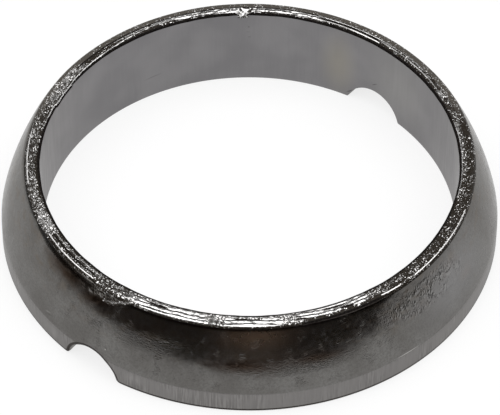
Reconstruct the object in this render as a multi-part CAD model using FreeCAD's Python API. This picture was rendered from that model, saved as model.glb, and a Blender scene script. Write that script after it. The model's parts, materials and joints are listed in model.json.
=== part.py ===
import FreeCAD, Part
import math
import os

# Ball-seat exhaust gasket: one ring, pressed in a die from knitted steel wire and graphite.
# Millimetres, +Z up. The origin is the centre of the flat base, and the bore's axis is Z.
# Azimuths are degrees about +Z, counted from +X. The two notches lie on the X axis.

# The ring: its outer radii are the bore's radius plus a wall, so each wall is set by itself
bore_radius = 32.0
ring_height = 14.5
base_wall = 6.3
land_width = 2.25
band_height = 3.7

# Rounded and broken edges of the ring
lip_radius = 0.6
land_edge_break = 0.25
band_blend_radius = 3.0
base_edge_radius = 0.35
bore_foot_break = 0.3

# Anti-rotation notches: each is the print of a round pin that rises from the bore to the band
notch_azimuths = (0.0, 180.0)
notch_pin_radius = 5.15
notch_crown_at_bore = 4.1
notch_crown_at_band = 4.7
notch_corner_at_bore = 0.25
notch_corner_at_band = 1.1

# Flats worn on the rim's outer edge: the azimuth of each, and how far it reaches into the land
rim_flats = ((156.5, 0.45), (-117.5, 0.6))
rim_flat_slope = 50.0

# Torn place in the lip, where a V-shaped groove runs from the land down into the bore
tear_azimuth = 39.3
tear_width = 3.5
tear_drop = 1.6
tear_reach = 1.2

# Shallow dent in the seat, close under the rim
dent_azimuth = -178.6
dent_below_land = 1.0
dent_depth = 0.25
dent_ball_radius = 18.0

# Radii that follow from the walls
band_radius = bore_radius + base_wall
land_radius = bore_radius + land_width

# The ball seat is a sphere about the bore's axis, through the band's top and the land's edge
seat_rise = ring_height - band_height
squares_apart = land_radius**2 + ring_height**2 - band_radius**2 - band_height**2
seat_centre_z = squares_apart / (2 * seat_rise)
seat_radius = math.hypot(band_radius, band_height - seat_centre_z)

origin = FreeCAD.Vector(0, 0, 0)
axis_y = FreeCAD.Vector(0, 1, 0)
axis_z = FreeCAD.Vector(0, 0, 1)

# Cutters run this far past what they cut, and sizes closer than the tolerance are the same
cutter_overrun = 2.0
same_size = 1e-4


def at_azimuth(azimuth, radius, height):
    """The point with this azimuth, distance from the bore's axis and height."""
    angle = math.radians(azimuth)
    return FreeCAD.Vector(radius * math.cos(angle), radius * math.sin(angle), height)


def seat_radius_at(height):
    """The ball seat's distance from the bore's axis at a height."""
    return math.sqrt(seat_radius**2 - (height - seat_centre_z) ** 2)


def ring_section(azimuth):
    """The closed section: flat base, band, arc of the ball seat, top land, bore and its foot."""
    middle_height = band_height + seat_rise / 2
    base_inner = at_azimuth(azimuth, bore_radius + bore_foot_break, 0)
    base_outer = at_azimuth(azimuth, band_radius, 0)
    seat_foot = at_azimuth(azimuth, band_radius, band_height)
    seat_middle = at_azimuth(azimuth, seat_radius_at(middle_height), middle_height)
    seat_top = at_azimuth(azimuth, land_radius, ring_height)
    land_inner = at_azimuth(azimuth, bore_radius, ring_height)
    bore_foot = at_azimuth(azimuth, bore_radius, bore_foot_break)
    edges = [
        Part.LineSegment(base_inner, base_outer).toShape(),
        Part.LineSegment(base_outer, seat_foot).toShape(),
        Part.Arc(seat_foot, seat_middle, seat_top).toShape(),
        Part.LineSegment(seat_top, land_inner).toShape(),
        Part.LineSegment(land_inner, bore_foot).toShape(),
        Part.LineSegment(bore_foot, base_inner).toShape(),
    ]
    return Part.Face(Part.Wire(edges))


def round_edges(shape, radius, height):
    """The edges about the bore's axis that have this radius and height."""
    circles = [edge for edge in shape.Edges if isinstance(edge.Curve, Part.Circle)]
    level = [edge for edge in circles if abs(edge.Curve.Center.z - height) < same_size]
    return [edge for edge in level if abs(edge.Curve.Radius - radius) < same_size]


def plain_ring():
    """The full turn of the section, with the rounds and the break above its base."""
    # The seam of the turn lies midway between the notches
    seam_azimuth = (notch_azimuths[0] + notch_azimuths[1]) / 2
    ring = ring_section(seam_azimuth).revolve(origin, axis_z, 360)
    ring = ring.makeFillet(band_blend_radius, round_edges(ring, band_radius, band_height))
    ring = ring.makeChamfer(land_edge_break, round_edges(ring, land_radius, ring_height))
    return ring.makeFillet(lip_radius, round_edges(ring, bore_radius, ring_height))


def notch_pin(azimuth):
    """The pin of one notch, with its crown at the stated heights at the bore and the band."""
    tilt = math.atan2(notch_crown_at_band - notch_crown_at_bore, base_wall)
    start_radius = bore_radius - cutter_overrun
    start_crown = notch_crown_at_bore - cutter_overrun * math.tan(tilt)
    start = FreeCAD.Vector(start_radius, 0, start_crown - notch_pin_radius / math.cos(tilt))
    direction = FreeCAD.Vector(math.cos(tilt), 0, math.sin(tilt))
    length = (base_wall + 2 * cutter_overrun) / math.cos(tilt)
    pin = Part.makeCylinder(notch_pin_radius, length, start, direction)
    pin.rotate(origin, axis_z, azimuth)
    return pin


def notch_corners(shape):
    """The sharp edges where the notches' round walls meet the flat base."""
    corners = []
    for edge in shape.Edges:
        surfaces = [face.Surface for face in shape.ancestorsOfType(edge, Part.Face)]
        walls = [surface for surface in surfaces if isinstance(surface, Part.Cylinder)]
        is_notch_wall = any(abs(wall.Radius - notch_pin_radius) < same_size for wall in walls)
        if is_notch_wall and edge.BoundBox.ZMax < same_size:
            corners.append(edge)
    return corners


def starts_at_bore(edge):
    """Whether an edge of the base starts nearer the bore than it ends."""
    first = edge.Vertexes[0].Point
    last = edge.Vertexes[-1].Point
    return math.hypot(first.x, first.y) < math.hypot(last.x, last.y)


def with_open_corners(ring):
    """The ring with its notch corners rounded, more towards the band than at the bore."""
    outward = [edge for edge in notch_corners(ring) if starts_at_bore(edge)]
    ring = ring.makeFillet(notch_corner_at_bore, notch_corner_at_band, outward)
    inward = [edge for edge in notch_corners(ring) if not starts_at_bore(edge)]
    return ring.makeFillet(notch_corner_at_band, notch_corner_at_bore, inward)


def pressed_ring():
    """The ring as it leaves the die, with its notches and the round around its base."""
    ring = plain_ring()
    for azimuth in notch_azimuths:
        ring = ring.cut(notch_pin(azimuth))
    ring = with_open_corners(ring)
    # This round runs on over the notches' mouths in the band
    return ring.makeFillet(base_edge_radius, round_edges(ring, band_radius, 0))


def rim_flat_block(azimuth, reach):
    """The block that wears one sloping flat into the land's outer edge."""
    size = 2 * ring_height
    depth = reach * math.cos(math.radians(rim_flat_slope))
    block = Part.makeBox(size, size, size, FreeCAD.Vector(-depth, -size / 2, -size / 2))
    block.rotate(origin, axis_y, -rim_flat_slope)
    block.translate(FreeCAD.Vector(land_radius, 0, ring_height))
    block.rotate(origin, axis_z, azimuth)
    return block


def tear_bar():
    """The V-shaped bar that cuts the torn groove, which slopes from the land into the bore."""
    slope = math.atan2(tear_drop, tear_reach)
    depth_at_lip = tear_drop * math.cos(slope)
    bar_depth = depth_at_lip + cutter_overrun
    half_width = tear_width / 2 * bar_depth / depth_at_lip
    length = math.hypot(tear_drop, tear_reach) + 2 * cutter_overrun
    tip = FreeCAD.Vector(-cutter_overrun, 0, 0)
    left = tip + FreeCAD.Vector(0, -half_width, bar_depth)
    right = tip + FreeCAD.Vector(0, half_width, bar_depth)
    bar = Part.Face(Part.makePolygon([tip, left, right, tip])).extrude(FreeCAD.Vector(length, 0, 0))
    bar.rotate(origin, axis_y, -math.degrees(slope))
    bar.translate(FreeCAD.Vector(bore_radius, 0, ring_height - tear_drop))
    bar.rotate(origin, axis_z, tear_azimuth)
    return bar


def dent_ball():
    """The ball that presses the dent into the seat."""
    height = ring_height - dent_below_land
    seat_to_dent = FreeCAD.Vector(seat_radius_at(height), 0, height - seat_centre_z)
    centre_distance = seat_radius + dent_ball_radius - dent_depth
    ball = Part.makeSphere(dent_ball_radius)
    ball.translate(seat_to_dent * (centre_distance / seat_radius))
    ball.translate(FreeCAD.Vector(0, 0, seat_centre_z))
    ball.rotate(origin, axis_z, dent_azimuth)
    return ball


def worn(ring):
    """The ring with the marks that its rim has taken."""
    for azimuth, reach in rim_flats:
        ring = ring.cut(rim_flat_block(azimuth, reach))
    ring = ring.cut(tear_bar())
    return ring.cut(dent_ball())


gasket_ring = worn(pressed_ring())
os.makedirs("parts", exist_ok=True)
gasket_ring.exportStep("parts/gasket_ring.step")
print("ball seat radius %.2f mm, centre at z %.2f mm" % (seat_radius, seat_centre_z))
print("solids %d, volume %.1f mm3" % (len(gasket_ring.Solids), gasket_ring.Volume))
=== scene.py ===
import json
import math

import bpy
import numpy as np
from mathutils import Matrix, Vector, noise


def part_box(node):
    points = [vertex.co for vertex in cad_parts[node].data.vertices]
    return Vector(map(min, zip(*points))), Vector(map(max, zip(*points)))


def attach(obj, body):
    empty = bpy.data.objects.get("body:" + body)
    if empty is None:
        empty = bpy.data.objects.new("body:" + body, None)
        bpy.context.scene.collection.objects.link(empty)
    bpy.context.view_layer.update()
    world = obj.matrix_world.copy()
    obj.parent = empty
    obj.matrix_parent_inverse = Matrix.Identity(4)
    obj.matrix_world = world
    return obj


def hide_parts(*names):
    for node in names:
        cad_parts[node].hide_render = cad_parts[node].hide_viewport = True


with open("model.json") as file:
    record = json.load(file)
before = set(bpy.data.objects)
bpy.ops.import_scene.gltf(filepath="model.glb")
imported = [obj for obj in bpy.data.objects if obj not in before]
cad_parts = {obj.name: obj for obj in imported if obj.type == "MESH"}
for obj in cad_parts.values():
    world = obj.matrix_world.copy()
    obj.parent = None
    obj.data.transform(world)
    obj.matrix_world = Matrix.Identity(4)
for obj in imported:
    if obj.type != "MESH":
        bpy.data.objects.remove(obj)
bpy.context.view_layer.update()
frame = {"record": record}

# Ball-seat exhaust gasket: one ring, pressed from knitted steel wire and graphite.
# Lengths are millimetres until a mesh or an object is made, which takes metres.
# Azimuths are degrees about +Z, counted from +X, and the two notches lie at 0 and 180.
metre = 0.001

# The ring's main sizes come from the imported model
ring_low, ring_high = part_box("gasket_ring")
bore_mount = next(mount for mount in frame["record"]["mounts"] if mount["name"] == "bore")
bore_radius = bore_mount["dims"]["r_mm"]
ring_height = (ring_high[2] - ring_low[2]) / metre
band_radius = (ring_high[1] - ring_low[1]) / 2 / metre

# Section of the ring
land_width = 2.25
band_height = 3.7
lip_width = 0.22
lip_height = 0.38
land_edge_width = 0.25
land_edge_height = 0.28
band_blend_radius = 3.0
base_edge_radius = 0.35
bore_foot_radius = 0.2

# Notches: arches that rise a little from the bore to the band, and narrow
notch_pin_at_bore = 5.15
notch_pin_at_band = 4.6
notch_crown_at_bore = 3.75
notch_crown_at_band = 4.25
notch_corner_at_bore = 0.25
notch_corner_at_band = 0.9

# Columns of the mesh all the way round, at its finest, and how many of a half notch are its
# arc and its rounded corner. A coarse row takes every second or fourth column.
columns = 1880
notch_arc_columns = 40
notch_corner_columns = 8
fine = 1
medium = 2
coarse = 4

# Radii and heights that follow
base_wall = band_radius - bore_radius
land_radius = bore_radius + land_width
seat_rise = ring_height - band_height
squares_apart = land_radius**2 + ring_height**2 - band_radius**2 - band_height**2
seat_centre_z = squares_apart / (2 * seat_rise)
seat_radius = math.hypot(band_radius, band_height - seat_centre_z)


def smooth_step(value, low, high):
    """0 below low, 1 above high and a smooth climb between."""
    t = np.clip((np.asarray(value, float) - low) / (high - low), 0, 1)
    return t * t * (3 - 2 * t)


def hump(value, middle, half_width):
    """1 at the middle, falling to both sides like a bell."""
    return np.exp(-(((value - middle) / half_width) ** 2))


def turn_from(azimuth, centre):
    """Signed degrees from a centre azimuth, between -180 and 180."""
    return (np.asarray(azimuth) - centre + 180) % 360 - 180


def window(azimuth, first, last, softness):
    """1 from the first azimuth on to the last, with soft ends outside them."""
    half = ((last - first) % 360) / 2
    away = np.abs(turn_from(azimuth, first + half))
    return 1 - smooth_step(away, half, half + softness)


def perlin(points, pitch, seed):
    """Smooth noise, about -0.7 to 0.7, with its grain in millimetres as pitch."""
    spots = (points / pitch + 17.3 * seed).tolist()
    return np.array([noise.noise(spot) for spot in spots])


def creases(points, pitch, seed):
    """Noise with sharp crests, from about -0.5 between them to 1 on them."""
    return 1 - 3.2 * np.abs(perlin(points, pitch, seed))


def around(azimuth, turns, seed):
    """Smooth noise along the circumference with about so many waves in one turn."""
    angle = np.radians(azimuth)
    reach = turns / (2 * math.pi)
    circle = np.stack([np.cos(angle) * reach, np.sin(angle) * reach, np.zeros_like(angle)], 1)
    return perlin(circle, 1.0, seed)


# The section's outer side

def outer_radius(z):
    """Radius of the ball seat, the blend under it and the band, at a height."""
    z = np.asarray(z, float)
    seat = np.sqrt(seat_radius**2 - (z - seat_centre_z) ** 2)
    blend_angle = math.asin((band_height - seat_centre_z) / seat_radius)
    blend_foot = band_height - band_blend_radius * math.tan(blend_angle / 2)
    blend_top = blend_foot + band_blend_radius * math.sin(blend_angle)
    in_blend = np.clip(z - blend_foot, 0, band_blend_radius)
    blend = band_radius - band_blend_radius + np.sqrt(band_blend_radius**2 - in_blend**2)
    return np.where(z > blend_top, seat, np.where(z > blend_foot, blend, band_radius))


# The foot of the ring: a flat base with the notches' arches in it

def beside_notch(index):
    """For each column, its azimuth's notch, its side and how many columns it is from it."""
    half_turn = columns // 2
    notch = np.round(index / half_turn)
    steps = index - notch * half_turn
    return notch * 180.0, np.sign(steps), np.abs(steps)


def foot_contour(index, across, offset):
    """Azimuth and height of the foot's edge: a notch's arch, its corner and the flat base.

    Across goes from 0 at the bore to 1 at the band; offset moves the edge into the metal.
    """
    notch, side, steps = beside_notch(index)
    radius = bore_radius + base_wall * across
    corner = notch_corner_at_bore + (notch_corner_at_band - notch_corner_at_bore) * across
    crown = notch_crown_at_bore + (notch_crown_at_band - notch_crown_at_bore) * across
    pin_radius = notch_pin_at_bore + (notch_pin_at_band - notch_pin_at_bore) * across
    axis_z = crown - pin_radius
    corner_turn = np.arccos((corner - axis_z) / (pin_radius + corner))
    corner_y = (pin_radius + corner) * np.sin(corner_turn)

    arc_turn = corner_turn * np.clip(steps / notch_arc_columns, 0, 1)
    arc_y = (pin_radius + offset) * np.sin(arc_turn)
    arc_z = axis_z + (pin_radius + offset) * np.cos(arc_turn)

    in_corner = np.clip((steps - notch_arc_columns) / notch_corner_columns, 0, 1)
    turn = corner_turn * (1 - in_corner)
    round_y = corner_y - (corner - offset) * np.sin(turn)
    round_z = corner - (corner - offset) * np.cos(turn)

    is_arc = steps <= notch_arc_columns
    y = np.where(is_arc, arc_y, round_y)
    z = np.where(is_arc, arc_z, round_z)
    angle = np.degrees(np.arcsin(y / radius))
    mouth_columns = notch_arc_columns + notch_corner_columns
    beyond = np.clip((steps - mouth_columns) / (columns / 4 - mouth_columns), 0, 1)
    angle = angle + (90 - angle) * beyond
    return notch + side * angle, z


# The rows of the mesh: each gives azimuth, radius and height of its columns

def even_azimuth(index):
    """The azimuth of each column where no notch bends the columns."""
    return index * 360.0 / columns


def quarter(turn):
    """How far a quarter round has gone one way, and has yet to go the other, after a turn."""
    return 1 - math.cos(math.radians(turn)), 1 - math.sin(math.radians(turn))


def foot_row(index, turn):
    """The round between the base and the bore; turn runs from 0 at the base to 90."""
    rise, inset = quarter(turn)
    azimuth, z = foot_contour(index, 0.0, bore_foot_radius * rise)
    return azimuth, bore_radius + bore_foot_radius * inset, z


def bore_row(index, share, top):
    """The bore's wall, at a share of the way from the foot to the top height."""
    azimuth, z = foot_contour(index, 0.0, bore_foot_radius)
    drift = turn_from(even_azimuth(index), azimuth) * smooth_step(share, 0, 0.7)
    return azimuth + drift, bore_radius, z + (top - z) * share


def lip_row(index, turn):
    """The rounded inner lip; turn runs from 0 at the bore to 90 at the land."""
    inset, drop = quarter(turn)
    return even_azimuth(index), bore_radius + lip_width * inset, ring_height - lip_height * drop


def land_row(index, share):
    """The top land, at a share of its width."""
    inner = bore_radius + lip_width
    outer = land_radius - land_edge_width
    return even_azimuth(index), inner + (outer - inner) * share, ring_height


def land_edge_row(index, turn):
    """The land's outer edge; turn runs from 0 at the land to 90 at the seat."""
    inner = land_radius - land_edge_width
    seat_start = float(outer_radius(ring_height - land_edge_height))
    radius = inner + (seat_start - inner) * math.sin(math.radians(turn))
    return even_azimuth(index), radius, ring_height - land_edge_height * quarter(turn)[0]


def outer_row(index, depth):
    """The seat and the band, at a depth below the land's edge on the way to the foot."""
    azimuth, z = foot_contour(index, 1.0, base_edge_radius)
    top = ring_height - land_edge_height
    share = depth / (top - base_edge_radius)
    height = top + (z - top) * share
    drift = turn_from(even_azimuth(index), azimuth) * smooth_step(1 - share, 0, 0.6)
    return azimuth + drift, outer_radius(height), height


def above_foot_row(index, rise):
    """A row a little above the round at the foot."""
    azimuth, z = foot_contour(index, 1.0, base_edge_radius + rise)
    return azimuth, outer_radius(z), z


def band_over_round(index):
    """The band's radius where the round at its foot starts."""
    return outer_radius(foot_contour(index, 1.0, base_edge_radius)[1])


def base_edge_row(index, turn):
    """The round between the band and the base; turn runs from 90 at the band to 0."""
    rise, inset = quarter(turn)
    azimuth, z = foot_contour(index, 1.0, base_edge_radius * rise)
    return azimuth, band_over_round(index) - base_edge_radius * inset, z


def base_row(index, across):
    """The base and the notches' roofs, from the bore at 0 to the band at 1."""
    azimuth, z = foot_contour(index, across, 0.0)
    inner = bore_radius + bore_foot_radius
    outer = band_over_round(index) - base_edge_radius
    return azimuth, inner + (outer - inner) * across, z


# Rows: turns in degrees, shares of the way, rises in millimetres, and down the seat as
# (rows, millimetres between them)
foot_turns = (30, 60, 90)
bore_shares = (0.03, 0.12, 0.25, 0.4, 0.56, 0.75)
fine_bore_height = 2.6
fine_bore_shares = (0.0, 0.25, 0.47, 0.67, 0.84)
lip_turns = (0, 18, 36, 54, 72)
land_rows = 20
land_edge_turns = (25, 50, 70, 90)
seat_rows = ((8, 0.19), (14, 0.36), (4, 0.85), (3, 0.56))
above_foot_rises = (0.30, 0.14)
base_edge_turns = (90, 45)
base_rows = 5


def all_rows():
    """The rows around the section: the zone below each, column step, function and values."""
    rim_foot = ring_height - fine_bore_height
    lip_foot = ring_height - lip_height
    rows = [("bore", coarse, foot_row, turn) for turn in foot_turns]
    rows += [("bore", coarse, bore_row, share, rim_foot) for share in bore_shares]
    for share in fine_bore_shares:
        rows.append(("bore", medium, bore_row, 1.0, rim_foot + (lip_foot - rim_foot) * share))
    rows += [("rim", fine, lip_row, turn) for turn in lip_turns]
    rows += [("rim", fine, land_row, step / (land_rows - 1)) for step in range(land_rows)]
    rows += [("rim", fine, land_edge_row, turn) for turn in land_edge_turns]
    depth = 0.0
    for count, spacing in seat_rows:
        for step in range(count):
            depth += spacing
            rows.append(("seat", medium, outer_row, depth))
    rows += [("seat", medium, above_foot_row, rise) for rise in above_foot_rises]
    rows += [("seat", medium, base_edge_row, turn) for turn in base_edge_turns]
    rows += [("base", coarse, base_row, 1 - step / (base_rows - 1)) for step in range(base_rows)]
    return rows


# Wear and press marks, which move the plain form

# Places where the rim's outer edge stands in (minus) or out from its circle: first and last
# azimuth, soft end, and millimetres
rim_edge_marks = (
    (112, 148, 4, -0.22),
    (153, 175, 3, -0.28),
    (-131, -108, 5, -0.1),
    (178, -175, 2, 0.08),
)

# How crushed the wire of the rim is: azimuth, share of bright wire from 0 to 1, and the
# middle and half width of the crushed stretch across the land
crushed_rim = (
    (-180, 0.22, 0.6, 0.42), (-175, 0.4, 0.65, 0.4), (-171, 0.9, 0.6, 0.5),
    (-156, 0.6, 0.6, 0.5), (-153, 0.95, 0.55, 0.5), (-147, 0.95, 0.55, 0.5),
    (-144, 0.6, 0.6, 0.45), (-137, 0.6, 0.6, 0.45), (-134, 0.95, 0.55, 0.5),
    (-129, 0.9, 0.55, 0.5), (-126, 0.5, 0.42, 0.38), (-112, 0.42, 0.42, 0.4),
    (-107, 0.38, 0.42, 0.42), (-100, 0.16, 0.4, 0.38), (-84, 0.14, 0.4, 0.36),
    (-70, 0.12, 0.4, 0.35), (-60, 0.08, 0.35, 0.25), (-55, 0.32, 0.3, 0.2),
    (-40, 0.36, 0.3, 0.22), (-30, 0.24, 0.34, 0.24), (-28.5, 0.2, 0.4, 0.26),
    (-27.5, 1, 0.42, 0.26), (-25.5, 1, 0.42, 0.26), (-24.5, 0.15, 0.4, 0.25),
    (-20, 0.06, 0.4, 0.25), (16, 0.08, 0.35, 0.25), (19, 1, 0.32, 0.26),
    (22, 0.9, 0.3, 0.24), (27, 0.8, 0.3, 0.22), (34, 0.85, 0.3, 0.24),
    (37, 0.95, 0.32, 0.24), (43, 0.95, 0.32, 0.24), (45, 0.8, 0.38, 0.2),
    (50, 0.8, 0.38, 0.2), (53, 0.9, 0.3, 0.28), (56, 0.6, 0.32, 0.26),
    (64, 0.12, 0.38, 0.22), (67, 0.08, 0.35, 0.22), (89, 0.08, 0.35, 0.22),
    (93, 0.8, 0.45, 0.28), (104, 0.8, 0.5, 0.3), (109, 0.22, 0.55, 0.4),
    (122, 0.26, 0.65, 0.4), (128, 0.36, 0.68, 0.36), (143, 0.4, 0.68, 0.36),
    (148, 0.45, 0.62, 0.4), (150, 1, 0.66, 0.42), (155, 1, 0.66, 0.42),
    (157, 0.14, 0.6, 0.4), (168, 0.2, 0.6, 0.4), (172, 0.45, 0.66, 0.38),
    (180, 0.22, 0.6, 0.42),
)

# Bright lines pressed along the rim: first and last azimuth, radius at each, half width, height
rim_lines = (
    (-176, -170, 34.2, 33.05, 0.09, 0.07),
    (-169, -155, 32.65, 32.7, 0.09, 0.06),
    (-146, -136, 32.6, 32.6, 0.08, 0.06),
    (-129, -117, 32.5, 32.5, 0.08, 0.06),
    (-106.5, -92.5, 34.12, 34.12, 0.085, 0.06),
    (-92, -86.5, 34.13, 34.13, 0.08, 0.06),
    (-85.5, -70, 34.14, 34.14, 0.08, 0.06),
    (-66, -38, 32.42, 32.42, 0.07, 0.05),
    (-24, -19.5, 32.65, 32.75, 0.07, 0.06),
    (-19, 0, 32.72, 32.8, 0.1, 0.08),
    (-16, 18, 33.15, 33.1, 0.1, 0.09),
    (0, 19, 32.48, 32.5, 0.11, 0.09),
    (56, 67, 32.75, 32.8, 0.09, 0.08),
    (55, 66, 33.1, 33.1, 0.09, 0.08),
    (67, 80, 32.8, 32.3, 0.09, 0.08),
    (80, 91, 32.3, 32.25, 0.08, 0.07),
    (91, 98.5, 32.25, 32.15, 0.08, 0.06),
    (98.5, 107, 32.18, 32.18, 0.09, 0.07),
    (106, 116, 32.2, 32.35, 0.07, 0.05),
    (68, 78, 33, 33, 0.07, 0.06),
    (114, 126, 34.13, 34.13, 0.09, 0.06),
    (127, 137, 34.13, 34.13, 0.08, 0.05),
    (156.5, 175, 34.14, 34.14, 0.11, 0.06),
    (157, 176, 32.85, 32.75, 0.07, 0.05),
)

# Grooves in the rim, given in the same way, with their depth; their dark is painted shade
shaded_rim_grooves = (
    (-169, -164, 32.95, 32.95, 0.13, 0.08),
    (-145, -139, 32.95, 32.95, 0.14, 0.08),
    (-122, -117, 32.9, 32.95, 0.14, 0.08),
    (20, 56, 33.22, 33.28, 0.09, 0.06),
    (56, 92, 33.28, 33.22, 0.08, 0.05),
    (0, 18, 32.82, 32.82, 0.13, 0.07),
    (157, 174, 33.3, 33.3, 0.1, 0.05),
)

# Strands of wire side by side along the rim: first and last azimuth, pitch, height, middle and
# half width across the land, and 1 where their wide sides face out or -1 where they face in
# The strands' wide flanks are painted light and their valleys painted shade.
strand_runs = (
    (-171.5, -154, 0.66, 0.095, 0.66, 0.32, 1),
    (-147, -134, 0.66, 0.095, 0.68, 0.3, 1),
    (-129, -111, 0.56, 0.075, 0.42, 0.34, 1),
    (20, 35.5, 0.46, 0.06, 0.3, 0.22, -1),
    (43.5, 58, 0.46, 0.06, 0.32, 0.22, -1),
)

# Where the rim's outer half is smeared over with dull graphite
dull_rim = (-34.0, 112.0)

# Torn lip: a V that falls from the land into the bore, and the ragged stretch beside it
tear_azimuth = 40.3
tear_drop = 1.0
tear_tip_width = 0.2
tear_spread = 0.85
ragged_lip = (24.0, 55.0)

# The lip stands a little into the bore between these azimuths
bulged_lip = (98.5, 107.0)
lip_bulge = 0.2

# Dent under the rim, and the crinkled flap of wire smeared down over it
dent_azimuth = -178.6
dent_height = ring_height - 1.0
dent_depth = 0.06
dent_radius = 3.0
flap_left = -184.0
flap_right = -170.0
flap_foot = 12.85

# The seat's bold wrinkles and the fine ones along the foot of its black burnish
bold_wrinkles = (-109.0, -79.0)
fine_wrinkles = (-158.0, -108.0)

# Between these azimuths the rim's outer edge is painted black as a shadow, down to where the seat
# starts
shadowed_outer_edge = (-174.0, -108.0)

# Crown of the rim: where its crest lies across the land, and how far it stands under the top
# at the crest, and more at the inner edge, there on the far side, and at the outer edge
crown_crest = 0.47
crown_drop = 0.05
crown_fall_in = 0.03
crown_fall_in_far = 0.13
crown_fall_out = 0.07

# Relief in millimetres: the rim's plain and crushed wire, the seat's slow waves with their
# pitches and seeds, its bold wrinkles and its fine ones
plain_wire = 0.010
crushed_wire = 0.10
slow_waves = ((0.020, 6.0, 51), (0.008, 2.2, 52))
bold_wrinkle_waves = (0.018, 0.015)
fine_wrinkle_wave = 0.014

# Heights between which the bold wrinkles rise and fall away, and the foot of the burnish, which
# climbs towards the left of the front
bold_wrinkle_foot = (7.8, 9.6)
bold_wrinkle_top = (13.3, 14.0)
burnish_foot = 8.3
burnish_foot_climb = 3.0
fine_wrinkle_spread = 0.9

# Of the tear: how far it reaches over the land, its raised arms, its floor's climb and flakes
tear_reach = (1.0, 1.3)
tear_arm_width = 0.28
tear_arm_rise = 0.05
tear_floor_climb = 0.9
tear_flake_rise = 0.12
tear_flake_push = 0.10

# Of the flap: its body's rise, that of its crinkles and their grain, and its bright edge, which is
# raised and carries a painted highlight
flap_rise = 0.02
flap_crinkle_rise = 0.025
flap_crinkle_grain = 0.42
flap_edge_rise = 0.04
flap_edge_width = 0.10


def crush_at(azimuth, across):
    """How crushed and bright the rim's wire is at a place, from 0 to 1."""
    places, *curves = np.array(crushed_rim, float).T
    at = turn_from(azimuth, 0.0)
    level, middle, half = (np.interp(at, places, curve) for curve in curves)
    return level * (1 - smooth_step(np.abs(across - middle), half * 0.8, half * 1.25))


def ring_space(azimuth, radius, squeeze):
    """Places on the rim for noise whose grain is drawn out along the rim by 1 / squeeze."""
    angle = np.radians(azimuth)
    turn_radius = (bore_radius + land_width / 2) * squeeze
    return np.stack([turn_radius * np.cos(angle), turn_radius * np.sin(angle), radius], 1)


def line_shape(azimuth, radius, line):
    """1 along a line pressed in the rim, falling to 0 beside it and past its ends."""
    first, last, start, end, half_width, _ = line
    share = np.clip(turn_from(azimuth, first) / ((last - first) % 360), 0, 1)
    middle = start + (end - start) * share + 0.05 * around(azimuth, 50, start)
    return hump(radius, middle, half_width) * window(azimuth, first, last, 1.0)


def strand_shape(azimuth, radius, run):
    """Height from 0 to 1 of a run of strands, their brightness with painted light on the wide
    flanks and painted shade in the valleys, and the share of it at each place.
    """
    first, last, pitch, _, middle, half, lean = run
    across = (radius - bore_radius) / land_width
    beside = smooth_step(np.abs(across - middle), half * 0.9, half * 1.2)
    share = window(azimuth, first, last, 1.5) * (1 - beside)
    drift = 0.7 * around(azimuth, 25, first) + 0.2 * around(azimuth, 80, last)
    part = (lean * ((radius - bore_radius) / pitch + drift)) % 1.0
    rise = np.minimum(part / 0.3, (1 - part) / 0.7)
    # Painted light on the flank that faces the light, painted shade in the valley between strands
    lit = smooth_step(part, 0.14, 0.34) * (1 - smooth_step(part, 0.84, 0.98))
    whole = smooth_step(perlin(ring_space(azimuth, radius, 0.18), 0.5, first), -0.50, -0.25)
    return rise, 2.5 * lit * whole - 0.6, share


def rim_relief(azimuth, radius):
    """Change of height over the rim in millimetres, and how bright its wire is, with painted shade
    below zero and painted light on the strands' flanks.
    """
    across = (radius - bore_radius) / land_width
    far_side = smooth_step(np.cos(np.radians(azimuth - tear_azimuth)), -0.2, 0.5)
    from_lip = smooth_step(across + 0.08 * far_side, 0.15, 0.22)
    on_land = from_lip * (1 - smooth_step(across, 0.97, 1.04))

    # The crown falls to both sides of its crest
    falls_in = np.clip((crown_crest - across) / crown_crest, 0, 1) ** 2
    falls_out = np.clip((across - crown_crest) / (1 - crown_crest), 0, 1) ** 2
    fall_in = crown_fall_in + crown_fall_in_far * far_side
    height = -crown_drop - fall_in * falls_in - crown_fall_out * falls_out

    # Crushed wire: sharp crests, high where much of it is crushed
    crush = crush_at(azimuth, across)
    drawn_out = ring_space(azimuth, radius, 0.55)
    crest_shape = 0.65 * creases(drawn_out, 0.62, 3) + 0.35 * creases(drawn_out, 0.30, 4)
    height = height + on_land * (plain_wire + crushed_wire * crush) * crest_shape
    # The inner lip is painted black: graphite, and painted shade on its rounded edge
    steel = crush + 0.45 * crush * (crest_shape - 0.2) - 1.1 * (1 - from_lip)
    # Painted shadow along the rim's outer edge
    steel = steel - 0.5 * smooth_step(across, 0.97, 1.04) * window(azimuth, *shadowed_outer_edge, 3.0)
    # Strands set the brightness: painted light on their wide flanks, painted shade in their
    # valleys
    for run in strand_runs:
        rise, strand_light_and_shade, share = strand_shape(azimuth, radius, run)
        share = share * from_lip
        height = height + run[3] * share * (rise - 0.5)
        steel = steel + (strand_light_and_shade - steel) * share

    fade = np.clip(0.95 + 0.6 * around(azimuth, 60, 9), 0.65, 1)
    for line in rim_lines:
        shape = line_shape(azimuth, radius, line) * fade
        height = height + line[5] * shape
        steel = steel + (2.0 - steel) * smooth_step(shape, 0.25, 0.6)
    # Each groove is cut in and painted dark as shade
    for groove in shaded_rim_grooves:
        shape = line_shape(azimuth, radius, groove)
        height = height - groove[5] * shape
        steel = steel - 1.6 * shape
    return height, steel


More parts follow.
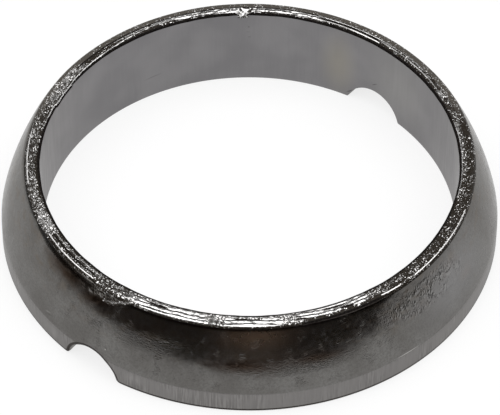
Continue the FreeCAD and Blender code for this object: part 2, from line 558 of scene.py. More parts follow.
def torn_lip(azimuth, radius, z, points):
    """Each point's share in the tear, its rise, its push outward and its steel."""
    along = np.abs(np.radians(turn_from(azimuth, tear_azimuth)) * bore_radius)
    up = np.clip(radius - bore_radius + z - ring_height + tear_drop, 0, None)
    half_width = tear_tip_width + tear_spread * up**1.6
    depth = np.clip(1 - along / half_width, 0, 1)
    out = radius - bore_radius
    reach = (1 - smooth_step(out, *tear_reach)) * smooth_step(up, 0.0, 0.15)
    arm = hump(along, half_width, tear_arm_width) * reach
    between = 1 - smooth_step(along, half_width - 0.1, half_width + 0.15)
    in_tear = np.maximum(between * reach, arm)
    flakes = creases(points, 0.65, 41) + 0.3 * creases(points, 0.3, 42)
    floor_z = ring_height - tear_drop * depth**0.7 + tear_floor_climb * np.clip(out, 0, None)
    sunk = np.minimum(z, floor_z) - z
    rise = in_tear * (sunk + tear_flake_rise * flakes + tear_arm_rise * arm)
    push = in_tear * (0.05 + tear_flake_push * flakes)
    steel = 0.5 + 1.3 * flakes + 1.3 * arm
    return in_tear, rise, np.clip(push, 0, 0.5), steel


def flap_shape(azimuth, z, points):
    """The crinkled flap under the rim: its relief, and how bright its wire is, with a painted
    highlight along its lower edge.
    """
    at = turn_from(azimuth, 180.0)
    left = flap_left + 180.0
    right = flap_right + 180.0
    # Its lower edge runs level from the left, then climbs to the rim on the right
    climb = smooth_step(at, 1.0, right)
    edge_z = flap_foot + (ring_height - flap_foot) * climb + 0.12 * perlin(points, 0.9, 61)
    inside = smooth_step(at, left - 1.5, left + 0.5) * (at < right)
    body = inside * smooth_step(z, edge_z - 0.06, edge_z + flap_edge_width)
    edge = inside * hump(z, edge_z + flap_edge_width, flap_edge_width)
    edge = edge * smooth_step(at, 0.0, 1.5)
    crinkle = creases(points, flap_crinkle_grain, 62)
    relief = body * (flap_rise + flap_crinkle_rise * crinkle) + flap_edge_rise * edge
    # The bright line along the flap's lower edge is a painted highlight
    steel = body * 0.115 * smooth_step(crinkle, 0.0, 0.8) + 1.8 * edge
    return relief, steel


def seat_relief(azimuth, z, points):
    """Dent, wrinkles and slow waves of the seat, outward in millimetres."""
    along = np.radians(turn_from(azimuth, dent_azimuth)) * outer_radius(dent_height)
    away = np.hypot(along, z - dent_height) / dent_radius
    dent = -dent_depth * np.clip(1 - away**2, 0, 1) ** 1.5

    slow = sum(depth * perlin(points, pitch, seed) for depth, pitch, seed in slow_waves)

    arc = np.radians(turn_from(azimuth, 0.0)) * seat_radius
    slant = np.stack([arc + 0.45 * z, 1.7 * z - 0.5 * arc, np.zeros_like(z)], 1)
    bold = window(azimuth, *bold_wrinkles, 5.0)
    bold = bold * smooth_step(turn_from(azimuth, -112.0), 0.0, 18.0)
    bold = bold * smooth_step(z, *bold_wrinkle_foot) * (1 - smooth_step(z, *bold_wrinkle_top))
    long_wave, short_wave = bold_wrinkle_waves
    bold = bold * (long_wave * creases(slant, 1.25, 53) + short_wave * perlin(slant, 0.62, 55))

    # The fine wrinkles follow the foot of the burnish, which falls and rises along the front
    climb = smooth_step(turn_from(azimuth, 180.0), 32.0, 2.0)
    foot = burnish_foot + burnish_foot_climb * climb
    level = np.stack([0.4 * arc, 1.5 * z, np.zeros_like(z)], 1)
    fine_ones = window(azimuth, *fine_wrinkles, 10.0) * hump(z, foot, fine_wrinkle_spread)
    fine_ones = fine_ones * fine_wrinkle_wave * creases(level, 0.8, 54)
    return dent + (slow + bold + fine_ones) * smooth_step(z, 3.2, 4.6)


def worn_points(zone, azimuth, radius, z, at_foot):
    """The row's points after the press marks and the wear, and how bright its wire is, painted
    light and shade included.

    The rows of the round between the band and the base are at the foot.
    """
    angle = np.radians(azimuth)
    points = np.stack([radius * np.cos(angle), radius * np.sin(angle), z], 1)
    across = (radius - bore_radius) / land_width
    near_rim = smooth_step(z, ring_height - 1.0, ring_height - 0.2)
    steel = np.zeros(len(z))

    if zone == "rim":
        lift, steel = rim_relief(azimuth, radius)
        z = z + lift

    # The rim's outer edge leaves its circle
    edge = 0.05 * around(azimuth, 25, 21)
    for first, last, softness, amount in rim_edge_marks:
        edge = edge + amount * window(azimuth, first, last, softness)
    outside = smooth_step(across, 0.55, 1.0)
    radius = radius + edge * outside * near_rim
    if zone == "seat":
        # The seat just under the rim's outer edge is painted dark as its shadow
        under_rim = smooth_step(z, ring_height - 1.0, ring_height - 0.6)
        steel = -0.7 * under_rim * window(azimuth, *shadowed_outer_edge, 3.0)

    # The rim's inner edge is a little uneven, and more so beside the tear
    inside = 1 - smooth_step(across, 0.0, 0.5)
    ragged = 1 + 1.5 * window(azimuth, *ragged_lip, 4.0)
    uneven = 0.05 * around(azimuth, 40, 31) + 0.03 * ragged * around(azimuth, 130, 32)
    uneven = uneven - lip_bulge * window(azimuth, *bulged_lip, 0.8)
    radius = radius + uneven * inside * smooth_step(z, ring_height - 1.5, ring_height - 0.4)

    if zone in ("rim", "bore"):
        in_tear, rise, push, torn_steel = torn_lip(azimuth, radius, z, points)
        z = z + rise
        radius = radius + push
        steel = steel + (torn_steel - steel) * in_tear

    if zone == "seat":
        radius = radius + seat_relief(azimuth, z, points)
        steel = steel - 0.8 * at_foot
    if zone in ("rim", "seat"):
        relief, flap_brightness_and_highlight = flap_shape(azimuth, z, points)
        radius = radius + relief * outside
        steel = np.where(flap_brightness_and_highlight * (across > 0.9) > 0.01, flap_brightness_and_highlight, steel)

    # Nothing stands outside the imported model's box
    radius = np.minimum(radius, outer_radius(np.clip(z, 0, ring_height)) + 0.12)
    radius = np.minimum(radius, band_radius)
    z = np.clip(z, 0, ring_height)
    x = np.clip(radius * np.cos(angle), ring_low[0] / metre, ring_high[0] / metre)
    return np.stack([x, radius * np.sin(angle), z], 1), steel


def strip_faces(first_start, first_count, second_start, second_count):
    """Faces between two rows of the mesh, where one may have twice the columns of the other."""
    if first_count == second_count:
        a = np.arange(first_count)
        b = (a + 1) % first_count
        quads = np.stack([first_start + a, first_start + b, second_start + b, second_start + a], 1)
        return quads.tolist()
    dense_first = first_count > second_count
    count = min(first_count, second_count)
    dense, sparse = (first_start, second_start) if dense_first else (second_start, first_start)
    faces = []
    for k in range(count):
        left = sparse + k
        right = sparse + (k + 1) % count
        p = dense + 2 * k
        q = p + 1
        r = dense + (2 * k + 2) % (2 * count)
        triangles = [(p, q, left), (q, right, left), (q, r, right)]
        faces += triangles if dense_first else [face[::-1] for face in triangles]
    return faces


zone_names = ("bore", "rim", "seat", "base", "black")

# A face of the rim with less brightness than this is black: bare graphite, and painted shade in
# the grooves, on the inner lip and in the strands' valleys
black_share = -0.38

# Outside the rim, a face with more bright wire than this is crushed wire too, as is the flap's
# edge with its painted highlight
crushed_share = 0.12


def new_mesh(name, points, faces, smooth=True):
    """A mesh from lists of points in metres and faces."""
    mesh = bpy.data.meshes.new(name)
    mesh.from_pydata(points, [], faces)
    mesh.polygons.foreach_set("use_smooth", [smooth] * len(faces))
    return mesh


def new_object(name, data):
    """A new object with this data, in the scene."""
    thing = bpy.data.objects.new(name, data)
    bpy.context.scene.collection.objects.link(thing)
    return thing


def ring_mesh():
    """The whole ring as one closed mesh, with one material slot for each zone."""
    rows = all_rows()
    zones = [row[0] for row in rows]
    starts = []
    points = []
    brightnesses = []
    total = 0
    for number, (zone, step, row, *values) in enumerate(rows):
        index = np.arange(0, columns, step)
        azimuth, radius, z = np.broadcast_arrays(*row(index, *values))
        at_foot = zone == "seat" and "base" in zones[number:number + 4]
        row_points, row_brightness = worn_points(zone, azimuth, radius, z, at_foot)
        points.append(row_points)
        brightnesses.append(row_brightness)
        starts.append((total, len(index)))
        total += len(index)
    steel = np.concatenate(brightnesses)
    faces = []
    materials = []
    for number, zone in enumerate(zones):
        after = (number + 1) % len(rows)
        strip = strip_faces(*starts[number], *starts[after])
        faces += strip
        zone = "base" if zones[after] == "base" else zone
        for face in strip:
            face_brightness = [steel[corner] for corner in face]
            look = "rim" if zone != "base" and max(face_brightness) > crushed_share else zone
            if zone == "rim" and sum(face_brightness) < black_share * len(face):
                look = "black"
            materials.append(zone_names.index(look))
    mesh = new_mesh("pressed_ring", (np.concatenate(points) * metre).tolist(), faces)
    mesh.polygons.foreach_set("material_index", materials)
    # The brightness kept on the mesh: the wire's own, with painted light and shade in it
    mesh.attributes.new("steel", "FLOAT", "POINT").data.foreach_set("value", steel)
    mesh.flip_normals()
    mesh.update()
    mesh.validate()
    return mesh


# Materials

class Nodes:
    """Short ways to add shader nodes to one tree."""

    def __init__(self, tree):
        self.tree = tree
        tree.nodes.clear()

    def add(self, kind, inputs=None, **settings):
        """A node; each of its inputs is a number, a colour or what another node gives."""
        node = self.tree.nodes.new("ShaderNode" + kind)
        for name, value in settings.items():
            setattr(node, name, value)
        for name, source in (inputs or {}).items():
            if isinstance(source, (int, float, tuple)):
                node.inputs[name].default_value = source
            else:
                self.tree.links.new(source, node.inputs[name])
        return node

    def math(self, operation, first, second=0.0):
        return self.add("Math", {0: first, 1: second}, operation=operation).outputs[0]

    def times(self, first, second):
        return self.math("MULTIPLY", first, second)

    def plus(self, first, second):
        return self.math("ADD", first, second)

    def highest(self, first, second):
        return self.math("MAXIMUM", first, second)

    def spread(self, value, low, high, to_low=0.0, to_high=1.0):
        inputs = {"Value": value, "From Min": low, "From Max": high,
                  "To Min": to_low, "To Max": to_high}
        node = self.add("MapRange", inputs, interpolation_type="SMOOTHSTEP")
        return node.outputs["Result"]

    def vector(self, operation, first, second=(0.0, 0.0, 0.0)):
        node = self.add("VectorMath", {0: first, 1: second}, operation=operation)
        return node.outputs["Value" if operation in ("DOT_PRODUCT", "LENGTH") else "Vector"]

    def noise(self, vector, scale, detail=2.0, roughness=0.5):
        inputs = {"Vector": vector, "Scale": scale, "Detail": detail, "Roughness": roughness}
        return self.add("TexNoise", inputs).outputs["Fac"]

    def mix(self, share, first, second, data_type="RGBA"):
        inputs = {"Factor": share, "A": first, "B": second}
        return self.add("Mix", inputs, data_type=data_type).outputs["Result"]

    def shade(self, value, dark, light, low=0.35, high=0.65):
        """A colour between dark and light, as the value goes from low to high."""
        return self.mix(self.spread(value, low, high), dark, light)

    def tint(self, colour, share, strength, tone):
        """The colour, turned towards a tone by a share of the strength."""
        return self.mix(self.times(share, strength), colour, tone)

    def bump(self, height, distance, strength, normal=None):
        inputs = {"Height": height, "Distance": distance * metre, "Strength": strength}
        if normal is not None:
            inputs["Normal"] = normal
        return self.add("Bump", inputs).outputs["Normal"]


# Metal at a grazing angle keeps some of its own colour
edge_tint = (0.94, 0.93, 0.92, 1)
seat_edge_tint = (0.78, 0.775, 0.77, 1)

# Colours of the ring, as a dark and a light one where a noise goes between two
bore_shades = ((0.185, 0.181, 0.186, 1), (0.225, 0.220, 0.224, 1))
bore_warm = (0.26, 0.245, 0.215, 1)
bore_pale = (0.275, 0.270, 0.264, 1)
bore_mark_tone = (0.03, 0.03, 0.03, 1)
graphite_shades = ((0.010, 0.008, 0.006, 1), (0.034, 0.028, 0.022, 1))
worked_shades = ((0.03, 0.027, 0.025, 1), (0.12, 0.116, 0.110, 1))
dull_graphite = (0.072, 0.065, 0.056, 1)
# Painted shade in the rim's grooves, on its inner lip and in the strands' valleys
painted_shade_tone = (0.010, 0.009, 0.008, 1)
bright_wire = (0.72, 0.71, 0.70, 1)
seat_shades = ((0.125, 0.120, 0.114, 1), (0.160, 0.156, 0.150, 1))
seat_speck = (0.085, 0.080, 0.075, 1)
seat_brown = (0.13, 0.105, 0.08, 1)
pale_smear_tone = (0.24, 0.19, 0.15, 1)
dark_smear_tone = (0.050, 0.034, 0.024, 1)
grey_smear_tone = (0.215, 0.213, 0.215, 1)
band_shades = ((0.154, 0.148, 0.144, 1), (0.222, 0.214, 0.209, 1))
dark_mark_tone = (0.04, 0.037, 0.034, 1)
light_mark_tone = (0.4, 0.39, 0.38, 1)
edge_black = (0.03, 0.026, 0.023, 1)
# The flap's wire, also painted on as the highlight along its edge
flap_wire_and_highlight = (0.60, 0.59, 0.57, 1)
# Painted shade in the seat's creases
crease_shade_tone = (0.02, 0.019, 0.018, 1)
# Painted highlights on the ridges between the seat's creases
crease_highlight_tone = (0.28, 0.275, 0.27, 1)
black_shades = ((0.006, 0.005, 0.005, 1), (0.018, 0.016, 0.014, 1))
base_shades = ((0.10, 0.095, 0.09, 1), (0.21, 0.205, 0.20, 1))


def new_material(name, look):
    """A metal material; its look gives the shader's inputs, from the place in millimetres."""
    material = bpy.data.materials.new(name)
    material.use_nodes = True
    nodes = Nodes(material.node_tree)
    here = nodes.add("TexCoord").outputs["Object"]
    place = nodes.vector("MULTIPLY", here, (1 / metre, 1 / metre, 1 / metre))
    inputs = {"Metallic": 1.0, "Specular Tint": edge_tint, **look(nodes, place)}
    shader = nodes.add("BsdfPrincipled", inputs).outputs["BSDF"]
    nodes.add("OutputMaterial", {"Surface": shader})
    return material


def split(nodes, place):
    """Radius from the axis, height, and the place with its radius made one length."""
    x, y, z = nodes.add("SeparateXYZ", {0: place}).outputs
    radius = nodes.math("SQRT", nodes.plus(nodes.times(x, x), nodes.times(y, y)))
    inputs = {0: nodes.math("DIVIDE", x, radius), 1: nodes.math("DIVIDE", y, radius), 2: z}
    return radius, z, nodes.add("CombineXYZ", inputs).outputs[0]


# How deep a mark reaches to both sides of its wall
mark_depth = 4.0


def mark(nodes, place, azimuth, z, half_length, half_width, slope=0.0, radius=None):
    """1 at the middle of a long mark on a wall, falling to 0 at its ends and sides.

    It lies on the seat and the band unless it has a radius of its own.
    """
    angle = math.radians(azimuth)
    if radius is None:
        radius = float(outer_radius(z))
    inputs = {
        "Vector": place,
        "Location": (radius * math.cos(angle), radius * math.sin(angle), z),
        "Rotation": (math.radians(slope), 0, angle),
        "Scale": (mark_depth, half_length, half_width),
    }
    inside = nodes.add("Mapping", inputs, vector_type="TEXTURE").outputs["Vector"]
    return nodes.spread(nodes.vector("LENGTH", inside), 0.0, 1.0, 1.0, 0.0)


def with_marks(nodes, place, colour, marks, tone, radius=None):
    """The colour with marks of one tone, each with its strength as its last value."""
    for *spot, strength in marks:
        colour = nodes.tint(colour, mark(nodes, place, *spot, radius), strength, tone)
    return colour


# Marks in the bore: azimuth, height, half length, half width, slope and strength
bore_marks = (
    (67, 4.15, 2.4, 0.16, -4, 0.35),
    (38.6, 11.4, 0.22, 0.16, 0, 0.7),
    (38.4, 9.2, 0.35, 0.12, 0, 0.5),
    (38.8, 10.3, 0.6, 0.08, 0, 0.3),
    (0, 5.4, 0.9, 0.13, -37, 0.7),
    (8.2, 1.4, 1.2, 0.18, -40, 0.7),
)
bore_warm_patches = ((12, 6.5, 4.2, 9, 0, 0.8),)
bore_pale_patches = ((-9, 8, 9, 12, 0, 0.7),)


def bore_look(nodes, place):
    """Satin burnished wall with faint axial streaks."""
    polar = split(nodes, place)[2]
    streaks = nodes.noise(nodes.vector("MULTIPLY", polar, (60, 60, 0.12)), 1.0, 3.0, 0.6)
    cloud = nodes.noise(place, 0.12)
    grain = nodes.noise(place, 5.0, 3.0)
    tone = nodes.plus(nodes.times(streaks, 0.35), nodes.times(cloud, 0.65))
    colour = nodes.shade(tone, *bore_shades)
    colour = with_marks(nodes, place, colour, bore_warm_patches, bore_warm, bore_radius)
    colour = with_marks(nodes, place, colour, bore_pale_patches, bore_pale, bore_radius)
    colour = with_marks(nodes, place, colour, bore_marks, bore_mark_tone, bore_radius)
    height = nodes.plus(nodes.times(streaks, 0.7), nodes.times(grain, 0.3))
    return {
        "Base Color": colour,
        "Roughness": nodes.spread(streaks, 0.3, 0.7, 0.36, 0.46),
        "Normal": nodes.bump(height, 0.008, 0.6),
    }


# Crushed wire: cells of this size in millimetres, how far they are drawn out along the rim and
# how steeply each is tilted; and the finer grit between them
wire_cell = 0.22
cell_squeeze = 0.65
cell_tilt = 1.0
grit_size = 0.25

# Where the dull smear starts across the rim, from the bore, and its soft ends in radians
dull_start = 1.25
dull_full = 1.45
dull_softness = 0.1


def rim_look(nodes, place):
    """Crushed wire: dark graphite with bright facets where the press polished the wire, and
    painted shade in its grooves, on its inner lip and along its shadowed outer edge.
    """
    radius, z, polar = split(nodes, place)
    wire_light_and_shade = nodes.add("Attribute", attribute_name="steel").outputs["Fac"]
    grain = nodes.noise(place, 4.5, 3.0, 0.6)
    x, y = nodes.add("SeparateXYZ", {0: polar}).outputs[:2]
    drawn_out = nodes.add("CombineXYZ", {
        0: nodes.times(x, bore_radius * cell_squeeze),
        1: nodes.times(y, bore_radius * cell_squeeze),
        2: nodes.plus(radius, z),
    }).outputs[0]
    cells = nodes.add("TexVoronoi", {"Vector": drawn_out, "Scale": 1 / wire_cell}).outputs
    random = nodes.add("SeparateColor", {0: cells["Color"]}).outputs[0]
    density = nodes.math("SUBTRACT", nodes.times(wire_light_and_shade, 1.2), 0.2)
    chosen = nodes.spread(nodes.math("SUBTRACT", density, random), -0.02, 0.12)
    inside_cell = nodes.spread(cells["Distance"], 0.34, 0.52, 1.0, 0.05)
    solid = nodes.spread(wire_light_and_shade, 1.0, 1.4)
    bright = nodes.highest(nodes.times(chosen, inside_cell), solid)
    grit = nodes.plus(nodes.noise(place, 1 / grit_size, 1.0),
                      nodes.spread(wire_light_and_shade, -0.2, 0.4, 0.0, 0.10))
    cluster = nodes.spread(nodes.noise(place, 1.0, 1.0), 0.35, 0.65, -0.06, 0.045)
    bright = nodes.highest(bright, nodes.spread(nodes.plus(grit, cluster), 0.66, 0.70))
    # Painted shade where the brightness is below zero: grooves, inner lip, strand valleys and the
    # shadowed outer edge
    groove = nodes.spread(wire_light_and_shade, -0.1, -0.7)

    # The outer half of the far rim is smeared over with dull graphite
    middle = math.radians((dull_rim[0] + dull_rim[1]) / 2)
    half = math.radians((dull_rim[1] - dull_rim[0]) / 2)
    facing = nodes.plus(nodes.times(x, math.cos(middle)), nodes.times(y, math.sin(middle)))
    dull = nodes.times(
        nodes.spread(facing, math.cos(half + dull_softness), math.cos(half - dull_softness)),
        nodes.spread(radius, bore_radius + dull_start, bore_radius + dull_full))

    colour = nodes.shade(grain, *graphite_shades)
    worked = nodes.shade(grain, *worked_shades, 0.4, 0.6)
    colour = nodes.mix(nodes.spread(wire_light_and_shade, 0.04, 0.45, 0.0, 0.30), colour, worked)
    for share, tone in ((dull, dull_graphite), (groove, painted_shade_tone), (bright, bright_wire)):
        colour = nodes.mix(share, colour, tone)
    rough = nodes.mix(dull, nodes.spread(grain, 0.3, 0.7, 0.42, 0.28), 0.5, "FLOAT")
    shiny = nodes.spread(solid, 0.0, 1.0, 0.17, 0.25)

    offset = nodes.vector("SUBTRACT", drawn_out, cells["Position"])
    lean = nodes.vector("SUBTRACT", cells["Color"], (0.5, 0.5, 0.5))
    tilted = nodes.times(bright, nodes.spread(solid, 0.0, 0.8, 1.0, 0.0))
    facet = nodes.times(nodes.vector("DOT_PRODUCT", offset, lean), tilted)
    height = nodes.plus(nodes.times(facet, cell_tilt), nodes.times(grain, 0.02))
    return {
        "Base Color": colour,
        "Metallic": nodes.spread(bright, 0.0, 1.0, 0.05, 1.0),
        "Specular IOR Level": 0.08,
        "Roughness": nodes.mix(bright, rough, shiny, "FLOAT"),
        "Normal": nodes.bump(height, 1.0, 1.0),
    }


# Marks on the seat: azimuth, height, half length, half width, slope and strength
seat_dark_marks = (
    (-176.1, 5.9, 0.35, 0.3, 0, 0.5),
    (167, 9.3, 0.35, 0.16, 60, 0.35),
    (166, 4.75, 1.2, 0.16, 15, 0.35),
    (-161.5, 10.35, 1.6, 0.14, 8, 0.4),
    (-123.5, 4.8, 0.3, 0.45, 0, 0.3),
    (-161.8, 0.5, 1.2, 0.2, 0, 0.9),
    (-97.8, 8.9, 0.5, 0.2, 0, 0.7),
    (-51.5, 3.9, 0.9, 0.25, -20, 0.4),
)
seat_light_marks = (
    (-176.2, 5.75, 0.2, 0.2, 0, 0.8),
    (165.6, 5.05, 0.9, 0.12, 15, 0.4),
    (168, 2.2, 2.6, 1.6, 0, 0.12),
    (-168.5, 2.4, 2.2, 1.5, 0, 0.12),
    (-161.8, 10.6, 1.3, 0.12, 8, 0.6),
    (-103.5, 3.95, 3.2, 0.16, 0, 0.9),
    (-52.7, 4.7, 0.9, 0.22, -20, 0.5),
)

# Pale brown smears in the burnish, dark ones under the rim and the lighter grey of its right
# side: azimuth, height, half length, half width and strength
pale_smears = (
    (-80.5, 8.4, 2.6, 1.6, 0.3),
    (-84, 12, 3, 1.6, 0.2),
    (-140, 12.9, 8, 2.6, 0.8),
)
dark_smears = (
    (168, 12.9, 8.5, 2.2, 1),
    (178, 12.4, 6, 2.6, 1),
    (-143, 8.6, 10, 1.7, 0.9),
    (-126.5, 9, 7.5, 1.7, 0.9),
    (-170, 11.6, 7, 2, 0.6),
)
grey_smears = ((-84.0, 9.5, 15.0, 9.0, 0.7),)

# The creased stretches of the seat, given like the marks but without a strength
right_creases = (-94.0, 11.0, 13.5, 3.6)
front_creases = (-130.0, 8.0, 17.0, 1.9)
left_creases = (-164.0, 10.2, 9.0, 2.2, 12.0, float(outer_radius(10.0)))


def seat_colour(nodes, place, z, polar, streaks, on_band):
    """The colour of the seat and the band, and the share of the pale smears in it."""
    smear = nodes.noise(nodes.vector("MULTIPLY", polar, (14, 14, 0.9)), 1.0, 3.0, 0.6)
    colour = nodes.shade(nodes.noise(place, 0.16, 3.0), *seat_shades)
    specks = nodes.spread(nodes.noise(place, 3.0, 3.0, 0.6), 0.42, 0.62, 0.0, 0.35)
    colour = nodes.mix(specks, colour, seat_speck)
    burnish = nodes.spread(z, 6.5, 11.0)
    brown = nodes.times(nodes.spread(smear, 0.45, 0.7), burnish)
    colour = nodes.tint(colour, brown, 0.4, seat_brown)
    shares = []
    for smears, tone in ((pale_smears, pale_smear_tone), (dark_smears, dark_smear_tone),
                         (grey_smears, grey_smear_tone)):
        share = 0.0
        for *spot, strength in smears:
            share = nodes.highest(nodes.times(mark(nodes, place, *spot), strength), share)
        share = nodes.times(share, nodes.spread(smear, 0.15, 0.5, 0.35, 1.0))
        colour = nodes.mix(share, colour, tone)
        shares.append(share)
    patch = nodes.noise(nodes.vector("MULTIPLY", polar, (12, 12, 0.2)), 1.0, 2.0)
    patch = nodes.spread(patch, 0.4, 0.6, 0.2, 1.0)
    streak = nodes.mix(patch, 0.5, nodes.spread(streaks, 0.38, 0.62), "FLOAT")
    colour = nodes.mix(on_band, colour, nodes.mix(streak, *band_shades))
    colour = with_marks(nodes, place, colour, seat_dark_marks, dark_mark_tone)
    colour = with_marks(nodes, place, colour, seat_light_marks, light_mark_tone)
    wire_light_and_shade = nodes.add("Attribute", attribute_name="steel").outputs["Fac"]
    # Painted shadow under the rim's outer edge, and a dark line along the foot, where the
    # brightness is below zero
    colour = nodes.mix(nodes.spread(wire_light_and_shade, 0.0, -0.8), colour, edge_black)
    # The flap's wire, with the highlight along its edge painted in
    return nodes.mix(nodes.spread(wire_light_and_shade, 0.0, 0.12), colour, flap_wire_and_highlight), shares[0]


def seat_look(nodes, place):
    """Burnished ball seat and the plain band under it."""
    z, polar = split(nodes, place)[1:]
    streaks = nodes.noise(nodes.vector("MULTIPLY", polar, (150, 150, 0.22)), 1.0, 3.0, 0.6)
    peel = nodes.noise(place, 1.3, 3.0, 0.55)
    on_band = nodes.spread(z, band_height + 0.25, band_height - 0.15)
    colour, pale_share = seat_colour(nodes, place, z, polar, streaks, on_band)
    gloss = nodes.mix(pale_share, nodes.spread(peel, 0.3, 0.7, 0.17, 0.25), 0.32, "FLOAT")
    height = nodes.plus(nodes.times(peel, 0.25), nodes.times(streaks, 0.25))
    smooth = nodes.bump(height, 0.060, 0.5)

    # Fine creases between the bold wrinkles on the right of the front, with painted shade along
    # them and painted highlights on their ridges
    slant = {"Vector": place, "Rotation": (0.0, -1.1, 0.0), "Scale": (1.8, 1.0, 0.75)}
    slant = nodes.add("Mapping", slant, vector_type="TEXTURE").outputs["Vector"]
    ripple = nodes.math("SUBTRACT", nodes.noise(slant, 1.3), 0.5)
    ripple = nodes.math("ABSOLUTE", ripple)
    patchy = nodes.spread(nodes.noise(place, 0.9), 0.37, 0.54)
    creased = nodes.spread(mark(nodes, place, *right_creases), 0.0, 0.7)
    creased = nodes.times(creased, patchy)
    # Painted shade along the crease lines
    crease_shade_stroke = nodes.times(nodes.spread(ripple, 0.0, 0.035, 1.0, 0.0), creased)
    colour = nodes.tint(colour, crease_shade_stroke, 0.9, crease_shade_tone)
    # Painted highlights on the ridges between the creases
    ridge_highlight = nodes.times(nodes.spread(ripple, 0.06, 0.13), creased)
    colour = nodes.tint(colour, ridge_highlight, 0.5, crease_highlight_tone)
    smooth = nodes.bump(nodes.times(ripple, creased), 0.35, 1.0, smooth)

    # Fine level creases along the foot of the burnish, with painted shade along them
    level = nodes.noise(nodes.vector("MULTIPLY", place, (0.7, 0.7, 2.4)), 1.4, 3.0, 0.6)
    level = nodes.math("ABSOLUTE", nodes.math("SUBTRACT", level, 0.5))
    along = nodes.highest(mark(nodes, place, *front_creases), mark(nodes, place, *left_creases))
    cloud = nodes.noise(place, 0.16, 3.0)
    along = nodes.times(along, nodes.spread(cloud, 0.35, 0.65, 0.3, 1.0))
    scattered = nodes.spread(nodes.noise(place, 0.5), 0.5, 0.7, 0.0, 0.35)
    along = nodes.highest(along, scattered)
    along = nodes.times(along, nodes.spread(z, band_height + 0.3, band_height + 1.2))
    crease_shade_stroke = nodes.times(nodes.spread(level, 0.0, 0.03, 0.65, 0.0), along)
    return {
        "Base Color": nodes.mix(crease_shade_stroke, colour, crease_shade_tone),
        "Specular Tint": seat_edge_tint,
        "Roughness": nodes.mix(on_band, gloss, 0.34, "FLOAT"),
        "Normal": nodes.bump(nodes.times(level, along), 0.26, 1.0, smooth),
    }


def black_look(nodes, place):
    """Black in the grooves of the rim and along its inner lip: bare graphite, and painted shade
    with no gloss.
    """
    grain = nodes.noise(place, 5.0)
    return {
        "Base Color": nodes.shade(grain, *black_shades),
        "Metallic": 0.0,
        "Specular IOR Level": 0.0,
        "Roughness": 0.6,
        "Normal": nodes.bump(grain, 0.03, 0.6),
    }


def base_look(nodes, place):
    """Flat base and notch roofs: pressed, rougher and darker than the walls."""
    grain = nodes.noise(place, 3.0, 4.0, 0.6)
    return {
        "Base Color": nodes.shade(grain, *base_shades),
        "Roughness": nodes.spread(grain, 0.3, 0.7, 0.5, 0.36),
        "Normal": nodes.bump(grain, 0.06, 0.7),
    }


# The look of each zone, in the order of zone_names
zone_looks = (
    ("bore_satin", bore_look),
    ("rim_crushed_wire", rim_look),
    ("seat_burnished", seat_look),
    ("base_pressed", base_look),
    ("black_graphite", black_look),
)


def make_ring():
    """The visible ring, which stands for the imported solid."""
    ring = new_object("pressed_gasket_ring", ring_mesh())
    for name, look in zone_looks:
        ring.data.materials.append(new_material(name, look))
    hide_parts("gasket_ring")
    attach(ring, "root")


# Camera at the photograph's angle; lengths in millimetres
camera_azimuth = -141.8
camera_elevation = 46.66
camera_roll = 0.187
camera_distance = 583.4
camera_lens = 272.7
camera_sensor = 36.0
aim_height = 6.4
aim_right = 0.07
aim_up = -1.99


def camera_axes():
    """The camera's right, up and forward directions before its roll."""
    azimuth = math.radians(camera_azimuth)
    elevation = math.radians(camera_elevation)
    forward = Vector((-math.cos(azimuth) * math.cos(elevation),
                      -math.sin(azimuth) * math.cos(elevation),
                      -math.sin(elevation)))
    right = Vector((-math.sin(azimuth), math.cos(azimuth), 0.0))
    return right, right.cross(forward), forward


def make_camera():
    """The camera that sees the ring as the photograph does."""
    right, up, forward = camera_axes()
    aim = Vector((0, 0, aim_height)) + right * aim_right + up * aim_up
    data = bpy.data.cameras.new("photo_camera")
    data.sensor_width = camera_sensor
    data.sensor_fit = "HORIZONTAL"
    data.lens = camera_lens
    camera = new_object("photo_camera", data)
    roll = math.radians(camera_roll)
    x_axis = right * math.cos(roll) + up * math.sin(roll)
    y_axis = up * math.cos(roll) - right * math.sin(roll)
    turn = Matrix((x_axis, y_axis, -forward)).transposed().to_4x4()
    camera.matrix_world = Matrix.Translation((aim - forward * camera_distance) * metre) @ turn
    bpy.context.scene.camera = camera


# Floor, lamps and surroundings; lengths in metres
floor_radius = 1.5
floor_rings = 24
floor_columns = 96
floor_rim_start = 0.7
floor_rim_rise = 0.12
floor_white = (0.93, 0.93, 0.93, 1)
floor_glow = 0.8
lamp_size = (1.3, 0.80)
lamp_height = 0.6
lamp_toward_camera = 0.1
lamp_power = 6.8
side_lamp_size = (0.32, 0.32)
side_lamp_distance = 0.70
side_lamp_elevation = 33.0
side_lamp_turn = 37.0
side_lamp_power = 0.5
low_sky = 0.12
high_sky = 0.22
white = (1, 1, 1, 1)

# The card beside the camera; its start and slant are turns in radians from the camera's right
card_height = 0.055
card_reach = 0.073
card_left = 0.120
card_right = 0.145
card_start = 0.60
card_slant = 0.055
card_slant_turn = 0.50
card_steps = 96
card_black = (0.05, 0.04, 0.032, 1)
card_brown = (0.20, 0.15, 0.115, 1)
# In degrees and millimetres, as for a mark on the ring
card_brown_azimuth = -139.8
card_brown_half_width = 27.0


def floor_material():
    """White paper; seen and mirrored it is nearly even white, with the ring's shadow kept."""
    material = bpy.data.materials.new("pale_paper")
    material.use_nodes = True
    nodes = Nodes(material.node_tree)
    paper = nodes.add("BsdfDiffuse", {"Color": floor_white}).outputs[0]
    glow = nodes.add("Emission", {"Color": white, "Strength": 1.0}).outputs[0]
    path = nodes.add("LightPath").outputs
    seen = nodes.highest(path["Is Camera Ray"], path["Is Glossy Ray"])
    seen = nodes.highest(seen, path["Is Transmission Ray"])
    share = nodes.times(seen, floor_glow)
    both = nodes.add("MixShader", {0: share, 1: paper, 2: glow}).outputs[0]
    nodes.add("OutputMaterial", {"Surface": both})
    return material


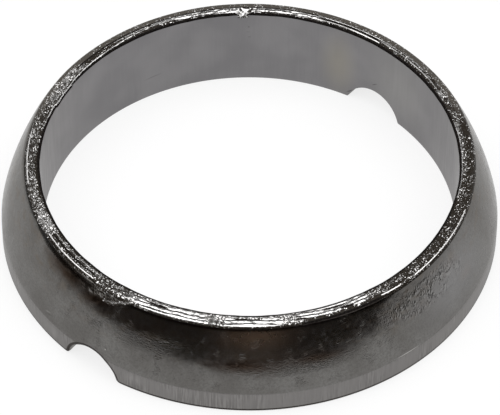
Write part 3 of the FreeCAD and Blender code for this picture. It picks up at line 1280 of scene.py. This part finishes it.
def make_floor():
    """A plain pale floor whose rim curls up, far away, behind any low view."""
    points = [(0.0, 0.0, 0.0)]
    for ring in range(1, floor_rings + 1):
        share = ring / floor_rings
        radius = floor_radius * share
        rise = floor_rim_rise * max(0.0, (share - floor_rim_start) / (1 - floor_rim_start)) ** 2
        for k in range(floor_columns):
            angle = 2 * math.pi * k / floor_columns
            points.append((radius * math.cos(angle), radius * math.sin(angle), rise))
    faces = [(0, 1 + k, 1 + (k + 1) % floor_columns) for k in range(floor_columns)]
    for ring in range(floor_rings - 1):
        low = 1 + ring * floor_columns
        high = low + floor_columns
        for k in range(floor_columns):
            after = (k + 1) % floor_columns
            faces.append((low + k, high + k, high + after, low + after))
    floor = new_object("pale_floor", new_mesh("pale_floor", points, faces))
    floor.data.materials.append(floor_material())


def soft_lamp(name, size, power, location, turn):
    """An area lamp of this width and depth, with its turn as Euler angles."""
    data = bpy.data.lights.new(name, "AREA")
    data.shape = "RECTANGLE"
    data.size, data.size_y = size
    data.energy = power
    lamp = new_object(name, data)
    lamp.location = location
    lamp.rotation_euler = turn


def make_lamps():
    """A large soft lamp overhead, a little toward the camera, and two smaller ones behind."""
    right, _, forward = camera_axes()
    away = Vector((forward.x, forward.y, 0)).normalized()
    overhead = Vector((0, 0, lamp_height)) - away * lamp_toward_camera
    level_turn = (0, 0, math.atan2(right.y, right.x))
    soft_lamp("overhead_softbox", lamp_size, lamp_power, overhead, level_turn)
    elevation = math.radians(side_lamp_elevation)
    for side in (-1, 1):
        turn = math.radians(side_lamp_turn) * side
        level = away * math.cos(turn) + right * math.sin(turn)
        direction = level * math.cos(elevation) + Vector((0, 0, math.sin(elevation)))
        soft_lamp("side_softbox", side_lamp_size, side_lamp_power, direction * side_lamp_distance,
                  direction.to_track_quat("Z", "Y").to_euler())


def card_look(nodes, place):
    """Matt black card with a soft brown stripe on the camera's line."""
    middle = card_height / metre / 2
    stripe = mark(nodes, place, card_brown_azimuth, middle, card_brown_half_width, 20 * middle,
                  radius=card_reach / metre)
    colour = nodes.mix(stripe, card_black, card_brown)
    return {"Base Color": colour, "Metallic": 0.0, "Roughness": 1.0}


def make_dark_card():
    """A dark card curved round the camera's side, which shows only in the metal."""
    right, _, forward = camera_axes()
    toward = Vector((-forward.x, -forward.y, 0)).normalized()
    step_turn = (math.pi - card_start) / card_steps
    points = []
    for step in range(card_steps + 1):
        turn = card_start + step_turn * step
        half_width = card_right if turn < math.pi / 2 else card_left
        foot = right * half_width * math.cos(turn) + toward * card_reach * math.sin(turn)
        low = card_slant * max(0.0, 1 - (turn - card_start) / card_slant_turn)
        points += [foot + Vector((0, 0, low)), foot + Vector((0, 0, card_height))]
    faces = [(2 * k, 2 * k + 2, 2 * k + 3, 2 * k + 1) for k in range(card_steps)]
    card = new_object("dark_card", new_mesh("dark_card", points, faces, smooth=False))
    card.data.materials.append(new_material("dark_card", card_look))
    for ray in ("camera", "diffuse", "transmission", "shadow"):
        setattr(card, "visible_" + ray, False)


def make_surroundings():
    """A plain grey room, darker near the horizon."""
    world = bpy.data.worlds.new("studio")
    world.use_nodes = True
    nodes = Nodes(world.node_tree)
    direction = nodes.add("TexCoord").outputs["Generated"]
    up = nodes.add("SeparateXYZ", {0: direction}).outputs[2]
    level = nodes.spread(up, 0.3, 1.0, low_sky, high_sky)
    background = nodes.add("Background", {"Color": white, "Strength": level})
    nodes.add("OutputWorld", {"Surface": background.outputs[0]})
    bpy.context.scene.world = world


make_ring()
make_camera()
make_floor()
make_lamps()
make_dark_card()
make_surroundings()
bpy.context.scene.view_settings.view_transform = "Standard"
